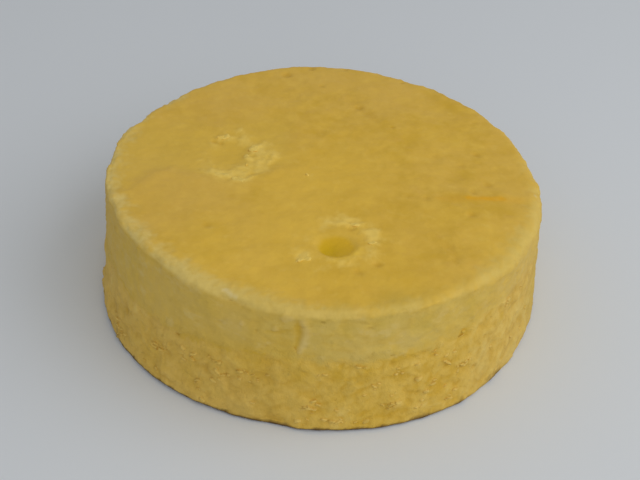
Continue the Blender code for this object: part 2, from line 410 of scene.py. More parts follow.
def ovalField(x, y, oval):
    # 0 in the middle, 1 at the edge
    turn = math.radians(oval["turn"])
    across, along = x - oval["middle"][0], y - oval["middle"][1]
    return np.hypot((across * math.cos(turn) + along * math.sin(turn)) / oval["reach"][0],
                    (along * math.cos(turn) - across * math.sin(turn)) / oval["reach"][1])


def pathField(x, y, path):
    # signed distance to a path: positive on its left
    nearest = np.full_like(x, 1e3)
    for (startX, startY), (endX, endY) in zip(path, path[1:]):
        runX, runY = endX - startX, endY - startY
        share = np.clip(((x - startX) * runX + (y - startY) * runY) / (runX ** 2 + runY ** 2), 0, 1)
        gapX, gapY = x - startX - share * runX, y - startY - share * runY
        signed = np.hypot(gapX, gapY) * np.where(runX * gapY - runY * gapX < 0, -1, 1)
        nearest = np.where(np.abs(signed) < np.abs(nearest), signed, nearest)
    return nearest


tornPlaces = {
    # pale crumb that shows where the skin is gone: x, y, radius and strength, in millimetres
    "clump": (
        (-25.9, 17.8, 1.8, 0.7), (-24.2, 13.4, 2.6, 0.8), (-20.4, 8.9, 2.4, 1.2), (-18.6, 12, 2.2, 0.7),
        (-18.3, 4.2, 2.6, 0.8), (-15.6, 7, 2.4, 0.8), (-22, 3.4, 1.6, 0.6), (-24, -2.4, 3.2, 0.9),
        (-18.8, -0.4, 3.4, 0.8), (-28.3, -4.8, 2.8, 0.9), (-22.5, -6.4, 2, 1), (-30.7, 14.4, 2.2, 0.5),
        (-34, -2.4, 2.4, 0.5), (-30.6, -3.4, 2.2, 0.6), (-28.6, 13.2, 1.7, 0.6), (-33.6, 1.2, 2.2, 0.4),
        (-32.6, 10.2, 2, 0.4), (-4.6, -36.8, 2, 1.1), (-5.3, -38.6, 1.4, 0.9), (-2.8, -31.6, 3, 0.4),
        (-1.4, -25.4, 2.6, 0.4), (1.6, -22.4, 2.6, 0.5), (4.2, -21, 2.8, 0.8), (8, -21.4, 2.4, 0.7),
        (11.4, -24.6, 2.4, 0.5), (13.2, -25.4, 2.3, 0.9), (13.2, -28.4, 2.1, 0.9), (12.4, -32.6, 3.4, 0.6),
        (10.4, -36.6, 2.6, 0.5), (6.2, -39.2, 2.4, 0.6), (1, -39.4, 2.6, 0.5),
    ),
    "hollow": {"middle": (-27.6, 5.6), "reach": (6.6, 6.2), "turn": -25.0},
    "pit": {"middle": (3.9, -32.3), "reach": (6.0, 5.6), "turn": 12.0},
    "pitDeep": ((1.2, -33.6, 3.8, 1),),
    # golden lips, painted brighter as a highlight where they catch the light
    "lip": ((4, -37.2, 1.7, 0.7), (6.3, -36.5, 1.6, 0.9), (8.3, -35, 1.5, 1.1), (9.8, -33, 1.2, 0.6)),
    # raised ragged edges inside the torn places
    "ridges": (
        ((2, -23), (5.1, -22.6), (7.7, -23.1), (10.2, -22)),
        ((9.8, -26.8), (10.4, -25), (13.5, -24.4), (14.6, -26.6)), ((11.8, -29.4), (14.6, -30.2)),
        ((2, -38.4), (4.6, -39), (7, -38.6), (8.8, -36.8)),
        ((-22.8, 4), (-22, 6), (-21, 8.8), (-19.4, 10.8)),
        ((-25.4, -7.4), (-22.6, -7.8), (-19.8, -4.6), (-17.2, -2.6)),
        ((-33.5, -3.6), (-30, -5.6), (-26.2, -5.6)), ((-31.8, 13.2), (-29.6, 14.6), (-28, 14.2)),
        ((-16.4, 2.6), (-15, 5.2), (-15.2, 7.6)),
    ),
}

skinLines = {
    # fold from the left rim to the torn place: its path, where it fades beside the line and towards its end
    "fold": (
        (-57, -18), (-51.9, -14), (-47.8, -6.9), (-42.7, -4.4), (-34.3, -6.1), (-24.6, -7.1), (-17, -3),
        (-14.4, 0.4), (-8, 2.5),
    ),
    "foldFades": (16, 32),
    "foldEnds": (-15, -8),
    "creaseA": ((5.4, 38.6), (8.2, 35), (12.6, 29.6)),
    "creaseB": ((31.6, -27.2), (33.6, -32), (34.1, -36.2)),
    # streak near the right rim and its faint trail: half width and path
    "streak": (1.9, ((38.6, -7), (43, -6.6), (48, -5.9))),
    "streakTrail": (2.8, ((31, -7.9), (40, -7), (52, -6))),
    # soft dents: x, y, radius and strength
    "dent": (
        (9.6, -41.9, 1.6, 0.7), (14.2, -38.6, 1.5, 0.9), (37.5, 8.4, 1.9, 0.7), (42, 14.6, 1.5, 0.8),
        (44.1, 0.6, 1.6, 0.9), (39.8, -4, 1.5, 0.7), (27.2, -8.2, 1.6, 0.6), (22.6, -7.8, 1.3, 0.5),
        (39.1, -14.6, 1.5, 0.8), (42.5, 32, 1.3, 0.5), (30.2, 12.6, 2.2, 0.5), (-29.7, -27.8, 1.5, 0.6),
        (-32.4, 11.6, 1.1, 1), (-30.4, 11.4, 1, 0.9), (7.4, -24.4, 1.3, 1), (-20.6, 2.9, 1.1, 0.8),
        (7.9, 35.5, 1.6, 1), (-14.6, 51.4, 1.8, 1.2), (-7.4, 56.2, 1.3, 1.3), (-3.6, 45.9, 1.2, 0.8),
        (3.4, 57, 1.1, 0.8), (20.9, 52, 1, 0.7), (17.9, 25.3, 0.6, 1),
    ),
    # pale rim by angle: its width and how softly the skin fades; the skin runs over the back edge
    "rim": (
        (-180, 2.2, 2.4), (-150, 2.6, 2.6), (-135, 3.2, 2.4), (-121, 4.2, 2), (-107, 4.5, 1.8),
        (-100, 4.9, 1.7), (-95, 4.2, 1.4), (-82, 2.4, 1.4), (-74, 2.3, 1.5), (-66, 1.2, 1.8),
        (-58, 0.7, 1.9), (-48, 1.3, 2), (-40, 2.6, 2.4), (-33, 3.9, 2.6), (-25, 4.6, 2.8), (-18, 3.9, 2.8),
        (-10, 3, 2.6), (10, 1.4, 2.2), (35, -0.8, 1.2), (90, -1.2, 1), (118, 0, 1.2), (140, 1, 1.6),
        (165, 1.8, 2.2), (180, 2.2, 2.4),
    ),
    # large soft tones of the skin, darker where the strength is negative
    "lighter": (
        (43, -25, 8, 0.8), (-3.8, -6.8, 15, 0.8), (-5.7, -29, 11, 0.9), (-27, -36, 12, 0.7),
        (-23, 5, 9, 0.6), (8, 8, 14, 0.5), (33, 22, 9, 0.5), (33, -16, 7, 0.5), (-2, -42, 8, 0.5),
        (-19, -46, 6, 0.6), (-8, -50, 6, 0.6), (7.7, -50.5, 5, 0.6), (20, -45, 5, 0.8),
    ),
    "paler": (
        (0, 52, 13, 0.9), (-35, 36, 12, 0.7), (22, 46, 11, 0.8), (10, 43, 9, 0.4), (-34, 26, 10, 0.4),
        (-38, -12, 12, 0.8), (-48, -6, 11, 0.7), (-42, -28, 10, 0.9), (-50, 12, 9, 0.4), (49, 0, 9, 0.6),
        (42, -20, 9, 0.2), (12, -18, 12, -0.5), (19, -36, 9, -0.6), (6, -46, 11, -0.8), (25, -46, 8, -0.5),
        (4, 2, 12, -0.4),
    ),
}

wallMarks = {
    # crack under the rim at the front and the pale drip beside it: angle in degrees and height
    "crack": ((-94, 32), (-93.6, 28.8), (-93.9, 25.4), (-94.6, 22.2)),
    "sideCrack": ((-101, 28), (-98, 28.4), (-95.6, 29.6)),
    "drip": ((-92.9, 32.4), (-92, 30), (-91.8, 28.6), (-92.3, 25.8), (-93.2, 23.4)),
    "seamCrack": ((-71, 19.4), (-66.5, 20.1), (-62, 20.8)),
    # specks of cream and holes in the crumb: angle, height and radius
    "speck": ((-96.9, 32.6, 1.3), (-107.2, 28.5, 0.8), (-99.1, 29.4, 0.9), (-95.6, 33, 0.9)),
    "hole": ((-143.5, 11.5, 1), (-124.6, 16.9, 0.7), (-44, 17, 0.6), (-47, 9, 0.8)),
    # whitish wet smear on the rim, a painted highlight, with its half width, and dull places of painted
    # shade on the shoulder: angle, millimetres in from the edge
    "wetRim": (1.2, ((-113, 2.2), (-111.5, 1.8), (-109.8, 1.6))),
    # painted shade where the rounded shoulder catches the key light
    "rimShade": (
        (-84, 2, 4, 0.5), (-70, 2, 5, 1), (-60, 2, 4, 0.5), (-50, 1, 4.5, 0.5), (-39, 1, 4.5, 0.5),
        (-27, 1, 5, 0.5),
    ),
    "glint": ((57, -2.9, 0.6),),  # x, y and radius
    # bites out of the foot and the rim, dark crumbs at the foot: angle, height, radius and strength
    "footBite": ((-96.8, 0, 3.2, 1), (-101, 0, 3.5, 0.5), (-91.6, 0, 2.6, -0.35), (-61.6, 0, 3, 0.4)),
    "charred": (
        (-61.6, 0.8, 2.2, 0.7), (-52, 0.8, 2.4, 0.8), (-40.3, 1, 2.2, 0.8), (-36.9, 1.2, 1.8, 0.7),
        (-162, 1.8, 3, 0.6), (-146.5, 1.2, 3, 0.7),
    ),
    "bite": (
        (-109, 34, 6, 1.2), (-82.5, 34, 4, 0.7), (-121, 34, 4.5, -0.5), (-158, 34, 3, 0.5),
        (-134, 34, 2.5, 0.4), (-70, 34, 3, 0.3),
    ),
    # soft tones of both layers, the dull ones painted shade
    # painted shade: dull, darker patches on the front shoulder, the right wall and the left wall
    "dullShade": (
        (-62.5, 28.8, 3, 1), (-66.1, 28.7, 1.6, 0.7), (-82.3, 30.4, 2, 0.8), (-74.2, 32, 2.6, 0.8),
        (-49.5, 29.5, 3.4, 0.7), (-118, 30, 4, 0.4), (-145, 26, 7, 0.4), (-163, 14, 5, 0.6),
        (-10, 12, 13, 0.9), (-89, 32.6, 2.2, 0.5),
    ),
    "golden": (
        (-97.8, 26, 2.8, 0.55), (-96, 21.5, 2.6, 0.8), (-104, 18, 5, 0.8), (-113, 17.5, 4, 0.5),
        (-92, 17, 3.5, 0.8), (-51.2, 21.6, 1.4, 1.2), (-36.9, 19.2, 1.4, 0.9), (-70, 20, 1.6, 0.9),
        (-66, 20.6, 1.6, 0.9), (-62, 21.3, 1.5, 0.8), (-133, 8, 6, 0.6), (-76, 3.5, 4, 0.5),
        (-152, 25, 7, 0.5), (-93.5, 30.5, 2.2, 0.5), (-84, 17.2, 2.6, 0.9), (-77, 18, 2.4, 0.8),
        (-49, 26, 5, 0.3), (-120, 10, 7, 0.45),
    ),
    "milkier": (
        (-22, 29, 6, 0.6), (-33, 27, 5, 0.4), (-109, 27.5, 4, 0.6), (-79, 23.5, 4, 0.6),
        (-67, 25, 3.6, 0.5), (-46, 6, 5, 0.6), (-31, 4, 5, 0.6), (-105, 3, 4, 0.5), (-120, 27, 7, 0.4),
        (-133, 24, 8, 0.4), (-152, 20, 8, 0.4), (-43, 12, 3.5, 0.5), (-180, 8, 6, 0.5),
        (-70.7, 30.2, 1, 0.9), (-64.6, 25.3, 2, 0.6),
    ),
}

sideLooks = {
    # what belongs to one side: its middle, where it is full and where it is gone, in degrees from that
    "crumby": (0, 30, 80),
    "front": (-70, 10, 48),
    "evenLeft": (180, 15, 50),
    "evenRight": (3, 12, 38),
    # where the browned foot edge and its painted contact shadow are strongest
    "burntAndShaded": (-110, 35, 75),
    "fewLeft": (180, 25, 60),
    "fewRight": (0, 25, 60),
}

wallArc = math.radians(1) * 60.0  # millimetres of wall for a degree of turn
rimArc = math.radians(1) * 58.0


def turnOf(points):
    # degrees round the cake: 0 at the right, -90 at the front
    return np.degrees(np.arctan2(points[:, 1], points[:, 0]))


def lookOf(points, name):
    middle, full, gone = sideLooks[name]
    gap = np.abs((turnOf(points) - middle + 180) % 360 - 180)
    return 1 - easeArray(full, gone, gap)


def alongArc(marks, arc):
    # marks that start with an angle, with it in millimetres along an arc
    return [(angle * arc, *rest) for angle, *rest in marks]


def wallField(kind, points, marks):
    # turns count from the back, so that no mark is cut in two there
    turn = (turnOf(points) + 270) % 360 - 270
    return kind(turn * wallArc, points[:, 2] / mm, alongArc(marks, wallArc))


hiddenRings = ((1, 0.95), (2, 0.8), (4, 0.55), (8, 0.28))


def seamRings(rimRadius, seam, lift):
    # level rings inside the cake, each with fewer sides and a smaller share of the radius
    rings = []
    for divide, share in hiddenRings:
        grown = easeArray(0.25, 1.0, share)
        height = (seam.mean() + (seam - seam.mean()) * grown + lift)[::divide]
        rings.append(ringAt(rimRadius[::divide] * share, height, anglesOf(len(seam) // divide), (0, 0)))
    return rings


def addLayerFields(mesh, points, angles, seam):
    # what both layers need where they meet
    seamHeight = np.interp(np.radians(turnOf(points)), angles, seam, period=math.tau)
    setField(mesh, "aboveSeam", (points[:, 2] - seamHeight) / mm)
    for name in ("crumby", "front"):
        setField(mesh, name, lookOf(points, name))
    for name in ("golden", "milkier", "dullShade", "bite"):
        setField(mesh, name, wallField(cloudField, points, wallMarks[name]))


creamForm = {
    "sides": 720,
    "wallRows": 30,
    "shoulderRows": 9,
    # the shoulder is sharp at the left and rounder at the right: angle, width and drop in millimetres
    "shoulder": (
        (-180, 1.6, 1.8), (-140, 1.8, 2), (-120, 2.2, 2.4), (-107, 3, 3), (-90, 2.2, 2), (-75, 2.2, 2),
        (-62, 2, 1.8), (-48, 2.5, 2.2), (-25, 3.7, 2.8), (0, 3.9, 2.8), (50, 2.8, 2), (90, 2.2, 1.7),
        (180, 1.6, 1.8),
    ),
    "ringStep": 0.5 * mm,
    "halveBelow": (34 * mm, 17 * mm, 8 * mm, 4 * mm),  # radii at which a ring gets half as many sides
    "height": 35.0 * mm,
    "castAbove": 0.4 * mm,
    "castBelow": 3.2 * mm,
    "seamLift": 0.15 * mm,
    "evenings": 8,
}


def layCream():
    form = creamForm
    angles = anglesOf(form["sides"])
    seam = seamFromFrame(angles)
    knots, widths, drops = np.transpose(form["shoulder"])
    facing = (np.degrees(angles) + 180) % 360 - 180
    width = np.interp(facing, knots, widths) * mm
    drop = np.interp(facing, knots, drops) * mm
    shoulderStart = form["height"] - drop
    share = np.linspace(0, 1, form["wallRows"])[:, None]
    heights = seam + share * (shoulderStart - seam)
    inside = np.clip(heights, seam + form["castAbove"], form["height"] - form["castBelow"])
    radii = evened(castWall("cream_layer", angles, inside), form["evenings"])
    rings = seamRings(radii[0], seam, form["seamLift"])[::-1]
    rings += [ringAt(radii[row], heights[row], angles, (1, 0)) for row in range(form["wallRows"])]
    rim = radii[-1]
    for row in range(1, form["shoulderRows"]):
        turn = math.pi / 2 * row / form["shoulderRows"]
        radius = rim - width * (1 - math.cos(turn))
        height = shoulderStart + drop * math.sin(turn)
        rings.append(ringAt(radius, height, angles, (math.cos(turn), math.sin(turn))))
    topRim = rim - width
    steps = int(topRim.mean() / form["ringStep"])
    for step in range(steps - 2):
        share = 1 - step / steps
        divide = 2 ** sum(topRim.mean() * share < limit for limit in form["halveBelow"])
        rings.append(ringAt(topRim[::divide] * share, form["height"], angles[::divide], (0, 1)))
    host, points = ringSolid("creamHost", rings)
    addLayerFields(host.data, points, angles, seam)
    addCreamFields(host.data, points, angles, rim)
    return host


def addCreamFields(mesh, points, angles, rim):
    x, y = points[:, :2].T / mm
    turn = turnOf(points)
    fromRim = np.interp(np.radians(turn), angles, rim / mm, period=math.tau) - np.hypot(x, y)
    rimTurns, rimWidths, rimFades = np.transpose(skinLines["rim"])
    depth = fromRim - np.interp(turn, rimTurns, rimWidths)
    setField(mesh, "skinDepth", depth / np.interp(turn, rimTurns, rimFades))
    for name in ("lighter", "paler", "dent"):
        setField(mesh, name, cloudField(x, y, skinLines[name]))
    for name in ("clump", "lip", "pitDeep"):
        setField(mesh, name, cloudField(x, y, tornPlaces[name]))
    for name in ("hollow", "pit"):
        setField(mesh, name, ovalField(x, y, tornPlaces[name]))
    fold = pathField(x, y, skinLines["fold"])
    fades = 1 - easeArray(*skinLines["foldFades"], np.abs(fold))
    setField(mesh, "fold", fold)
    setField(mesh, "foldFades", fades * (1 - easeArray(*skinLines["foldEnds"], x)))
    for name in ("creaseA", "creaseB"):
        setField(mesh, name, np.abs(pathField(x, y, skinLines[name])))
    for name in ("streak", "streakTrail"):
        halfWidth, path = skinLines[name]
        setField(mesh, name, halfWidth - np.abs(pathField(x, y, path)))
    ridges = [np.abs(pathField(x, y, line)) for line in tornPlaces["ridges"]]
    setField(mesh, "ridge", np.min(ridges, axis=0))
    for name in ("crack", "sideCrack", "drip"):
        setField(mesh, name, np.abs(wallField(pathField, points, wallMarks[name])))
    setField(mesh, "speck", wallField(spotField, points, wallMarks["speck"]))
    setField(mesh, "glint", spotField(x, y, wallMarks["glint"]))
    halfWidth, path = wallMarks["wetRim"]
    wetAndHighlight = np.abs(pathField(turn * rimArc, fromRim, alongArc(path, rimArc)))
    setField(mesh, "wetRim", halfWidth - wetAndHighlight)
    # painted shade on the shoulder
    setField(mesh, "rimShade", cloudField(turn * rimArc, fromRim, alongArc(wallMarks["rimShade"], rimArc)))


creamRelief = {
    **wallRelief,
    "Swell": 0.35 * mm,
    "Ripple": 0.21 * mm,
    "Fine Grain": 0.06 * mm,
    "Skin Thickness": 0.25 * mm,
    "Rim Nick": 0.66 * mm,
    "Rim Bite": 0.50 * mm,
    "Side Bite": 1.0 * mm,
    "Clump Height": 0.34 * mm,
    "Ridge Height": 0.36 * mm,
    "Hollow Depth": 0.35 * mm,
    "Pit Depth": 1.35 * mm,
    "Fold Drop": 0.40 * mm,
    "Crease Depth": 0.35 * mm,
    "Dent Depth": 0.40 * mm,
    "Crack Depth": 0.45 * mm,
    "Drip Height": 0.18 * mm,
    "Speck Height": 0.25 * mm,
    "Glint Height": 0.30 * mm,
}


def creamTree(material):
    g = ShapeGraph("creamRelief", creamRelief)
    place = g.place()
    push = g.read("push", "FLOAT_VECTOR")
    up = push.part("Z")
    top = g.ease(0.55, 0.98, up)
    side = g.fade(0.15, 0.75, up)
    shoulder = (1.0 - top) * (1.0 - side)

    fine = g.grain(place, 1.5 * mm, 3.0)
    ragged = g.grain(place, 3.0 * mm, 3.0, 0.6)
    coarse = g.grain(place, 9 * mm)

    # browned skin with its wandering edge near the rim
    skin = g.ease(-1.5, 1.5, g.read("skinDepth") + coarse * 0.9 + ragged * 0.9 + fine * 0.3)
    skin = skin * g.ease(0.05, 0.4, up)

    # torn clumps, hollow and pit
    pitEdge = g.read("pit") + ragged * 0.04
    pit = g.fade(0.62, 1.04, pitEdge) * top
    bowl = g.fade(0.15, 1.10, pitEdge) * top
    hollow = g.fade(0.25, 1.20, g.read("hollow") + ragged * 0.08) * top
    clump = g.ease(0.05, 1.10, g.read("clump") + ragged * 0.26 + fine * 0.10) * top * (1.0 - pit)
    skinLeft = skin * (1.0 - clump) * (1.0 - pit)
    shreds = 1.0 - abs(g.grain(place * (1.0, 1.4, 1.0), 4.0 * mm, 1.6, 0.5)) * 1.4
    rubble = shreds * 0.7 + g.lumps(place, 2.8 * mm) * 0.3
    tornTone = g.ease(0.05, 1.35, g.read("clump") + ragged * 0.42 + fine * 0.12) * top * (1.0 - pit)
    ridge = g.fade(0.0, 1.1, g.read("ridge") + ragged * 0.35) * (0.6 + fine * 0.5) * top
    bite = g.ease(0.25, 1.0, g.grain(place, 8 * mm, 2.0, 0.5))
    upper = (1.0 - top) * g.ease(25 * mm, 34 * mm, place.part("Z"))

    # the skin behind the fold has sunk, and its edge rolls up a little
    fold = g.read("fold") + g.grain(place, 5 * mm) * 0.9
    fades = g.read("foldFades") * top
    sunk = g.ease(-1.2, 3.0, fold) * fades
    roll = g.fade(0.0, 2.6, abs(fold + 1.4)) * fades
    creaseA = g.fade(0.0, 3.2, g.read("creaseA") + ragged * 0.8)
    creaseB = g.fade(0.0, 2.2, g.read("creaseB") + ragged * 0.8)
    crease = (creaseA * 0.6 + creaseB * 0.8) * skinLeft
    dent = g.ease(0.15, 1.0, g.read("dent") + ragged * 0.22 + fine * 0.08) * g.ease(0.3, 0.8, up)

    # the side, with the crack and the drip
    share = creamShare(g, place, g.read("aboveSeam"), g.read("crumby"))
    wall, raised, nick = wallShape(g, place, share, g.read("crumby"))
    crack = g.fade(0.0, 1.3, g.read("crack") + fine * 0.25)
    crack = (crack + 0.45 * g.fade(0.0, 0.8, g.read("sideCrack") + fine * 0.3)) * (1.0 - top)
    drip = g.fade(0.1, 1.5, g.read("drip") + fine * 0.2) * (1.0 - top)
    speck = g.ease(-0.1, 0.5, g.read("speck") + fine * 0.25) * (1.0 - top)

    relief = (
        g.inlet("Swell") * g.grain(place, 22 * mm) * top
        + g.inlet("Ripple") * g.grain(place, 7 * mm, 3.0, 0.55) * top
        + g.inlet("Fine Grain") * fine * (1.0 - top * 0.45)
        + g.inlet("Skin Thickness") * skin * (1.0 - clump)
        + g.inlet("Clump Height") * clump * (0.1 + rubble) * (1.0 - hollow * 0.5)
        + g.inlet("Ridge Height") * ridge
        - g.inlet("Hollow Depth") * hollow * (1.0 - clump * 0.6)
        - g.inlet("Pit Depth") * (pit * 0.30 + bowl * 0.35 + g.read("pitDeep") * pit * 0.5)
        + g.inlet("Rim Nick") * g.grain(place, 4.5 * mm, 3.0, 0.6) * shoulder
        - g.inlet("Rim Bite") * bite * shoulder
        - g.read("bite") * upper * g.inlet("Side Bite")
        + g.inlet("Fold Drop") * (roll * 0.25 - sunk) * (1.0 - clump)
        - g.inlet("Crease Depth") * crease
        - g.inlet("Dent Depth") * dent
        + wall * (side + shoulder * 0.5)
        - g.inlet("Crack Depth") * crack
        + g.inlet("Drip Height") * drip
        + g.inlet("Speck Height") * speck
        + g.inlet("Glint Height") * g.ease(0.0, 0.8, g.read("glint"))
    )
    # the wet smear: smoother, and painted whitish as a highlight
    wetAndHighlight = g.ease(0.2, 1.2, g.read("wetRim") + fine * 0.5 + ragged * 0.3) * g.ease(0.25, 0.6, up)
    streak = g.ease(0.5, 1.7, g.read("streak") + ragged * 0.35 + fine * 0.1)
    trail = g.ease(0.0, 2.8, g.read("streakTrail") + ragged * 0.8)
    return g.close(g.keep(g.move(g.inlet("Geometry"), push * relief), {
        "skin": skin * (1.0 - pit),
        "torn": (tornTone * (0.85 + rubble * 0.3) + ridge * 0.4).clipped(),
        "hollowFloor": hollow,
        "pitFloor": pit,
        "thinSkin": sunk,
        "raised": raised,
        # painted shade in creases, dents and nicks
        "grooveShade": (crease * 0.7 + dent * 0.8 + nick * side * 0.5).clipped(),
        # painted shade in the crack under the rim
        "crackShade": crack.clipped(),
        "milky": (drip * 0.6 + speck * 0.4).clipped(),
        # painted highlight on the wet smear and the glint
        "wetAndHighlight": (wetAndHighlight * 0.8 + g.ease(0.0, 0.6, g.read("glint")) * top).clipped(),
        "streakTone": ((streak * 0.62 + trail * 0.30) * top).clipped(),
        "topSide": 1.0 - side,
        # painted shade on the shoulder, kept off the wall
        "rimShade": g.read("rimShade") * (1.0 - side),
    }), material)


finishLooks = {
    "specular": 0.30,
    # roughness and how much the grain changes it
    "creamRough": (0.62, 0.05),
    "baseRough": (0.72, 0.04),
    "wetSmoother": 0.35,
    # strength and depth of the bumps
    "creamBumps": (0.3, 0.06 * mm),
    "baseBumps": (0.4, 0.14 * mm),
}


def newFinish(name):
    material = bpy.data.materials.new(name)
    material.use_nodes = True
    surface = material.node_tree.nodes["Principled BSDF"]
    surface.inputs["Specular IOR Level"].default_value = finishLooks["specular"]
    return material, Graph(material.node_tree), surface


def dress(g, surface, colour, roughness, bumps, strength, depth):
    # the finished colour, roughness and fine bumps of a surface
    g.feed(surface.inputs["Base Color"], colour)
    g.feed(surface.inputs["Roughness"], roughness)
    bump = g.add("ShaderNodeBump", {"Height": bumps, "Strength": strength, "Distance": depth})
    g.feed(surface.inputs["Normal"], bump)


def objectPlace(g):
    return g.add("ShaderNodeTexCoord", output="Object")


layerColours = {
    # sides of both layers
    "cream": (0.670, 0.473, 0.097),
    "creamGold": (0.688, 0.457, 0.076),
    "creamDeep": (0.600, 0.385, 0.046),
    "creamMilk": (0.710, 0.530, 0.170),
    "crumb": (0.740, 0.485, 0.080),
    "sideCrumb": (0.745, 0.490, 0.100),
    "paleCrumb": (0.825, 0.600, 0.160),
    # the deep crumb colours are painted shade in the cracks between lumps
    "deepCrumb": (0.655, 0.398, 0.037),
    "sideDeep": (0.650, 0.412, 0.072),
    "honey": (0.690, 0.420, 0.020),
    # darker colour painted as shade on the sides and the shoulder
    "dullShade": (0.590, 0.415, 0.064),
    # painted shade colour in the grooves of both layers
    "crack": (0.560, 0.320, 0.016),
    # browned foot, with the contact shadow painted in
    "scorchAndShadow": (0.100, 0.050, 0.015),
}


def wallTones(g, place):
    # crumb below, cream above, mixed raggedly where they meet
    colours = layerColours
    front = g.field("front")
    crumby = g.field("crumby")
    flecks = paleFlecks(g, place)
    mottle = g.grain(place, 9 * mm, 3.0, 0.6)
    patches = g.grain(place + (0.3, 0.2, 0.1), 4.5 * mm, 2.0, 0.5)
    streaky = g.grain(place * (1.0, 1.0, 2.0), 8 * mm, 3.0, 0.6)
    blotch = g.grain(place * (1.0, 1.0, 1.5), 4.2 * mm, 3.0, 0.55)
    # painted shade and light from the relief: deep gold in the cracks between lumps, the lit colour and pale
    # crumb on their tops, mixed with random mottle and patches
    shade = g.field("raised") * 0.70 + 0.18 + mottle * 0.25 + patches * 0.17
    lit = g.paint(colours, "sideCrumb", (front, "crumb"))
    deep = g.paint(colours, "sideDeep", (front, "deepCrumb"))
    crumb = g.paint(
        colours, deep,
        (g.ease(0.05, 0.65, shade), lit),
        (g.ease(0.60, 1.1, shade + crumby * 0.15) * 0.6, "paleCrumb"),
        (flecks * 0.45, "paleCrumb"),
    )
    cream = g.paint(
        colours, "cream",
        (g.ease(-0.2, 1.0, 1.0 - front + streaky * 0.7), "creamGold"),
        (g.ease(0.0, 1.0, blotch + mottle * 0.5) * 0.6, "creamDeep"),
        (g.ease(0.1, 1.1, streaky * 0.6 - blotch - mottle * 0.5) * 0.6, "creamMilk"),
        (flecks * 0.3, "paleCrumb"),
    )
    share = creamShare(g, place, g.field("aboveSeam"), crumby)
    between = share * (1.0 - share) * 4.0 * g.ease(-0.5, 0.7, streaky + blotch * 0.6)
    between = between * (1.0 - crumby) * 0.45
    return g.paint(
        colours, crumb,
        (share * (1.0 - crumby * 0.35), cream),
        (g.frayed("golden", blotch * 0.3) * 0.55 + between, "honey"),
        (g.frayed("milkier", blotch * 0.3) * 0.45, "creamMilk"),
        # painted shade patches
        (g.frayed("dullShade", blotch * 0.2) * 0.6, "dullShade"),
        # painted shade in the grooves
        (g.field("grooveShade") * 0.5, "crack"),
    )


creamColours = {
    "rim": (0.795, 0.566, 0.130),
    # paler cream on the left rim, painted lighter as well for light the lamps do not give there
    "leftRimPaleAndLit": (0.855, 0.648, 0.202),
    "rightRim": (0.800, 0.565, 0.124),
    "deepGold": (0.742, 0.455, 0.038),
    "paleGold": (0.830, 0.522, 0.076),
    "tan": (0.774, 0.470, 0.080),
    "thin": (0.810, 0.530, 0.072),
    "torn": (0.955, 0.665, 0.135),
    "flap": (0.930, 0.660, 0.138),
    # bright colour painted as a highlight on the lips
    "lip": (0.990, 0.640, 0.062),
    "sunny": (0.880, 0.556, 0.066),
    "bloom": (0.806, 0.508, 0.089),
    "honey": (0.790, 0.480, 0.026),
    "hollow": (0.800, 0.508, 0.058),
    "pit": (0.768, 0.462, 0.018),
    # darker, deeper gold painted as shade in the deepest part of the pit
    "pitDeep": (0.725, 0.455, 0.003),
    # painted shade in the creases and dents of the top
    "grooveShade": (0.600, 0.330, 0.014),
    # darker gold painted as shade in the crack
    "crackShade": (0.640, 0.390, 0.014),
    "streak": (0.880, 0.450, 0.010),
    "milky": (0.790, 0.600, 0.250),
    # whitish colour painted as a highlight
    "wetAndHighlight": (0.880, 0.730, 0.360),
}


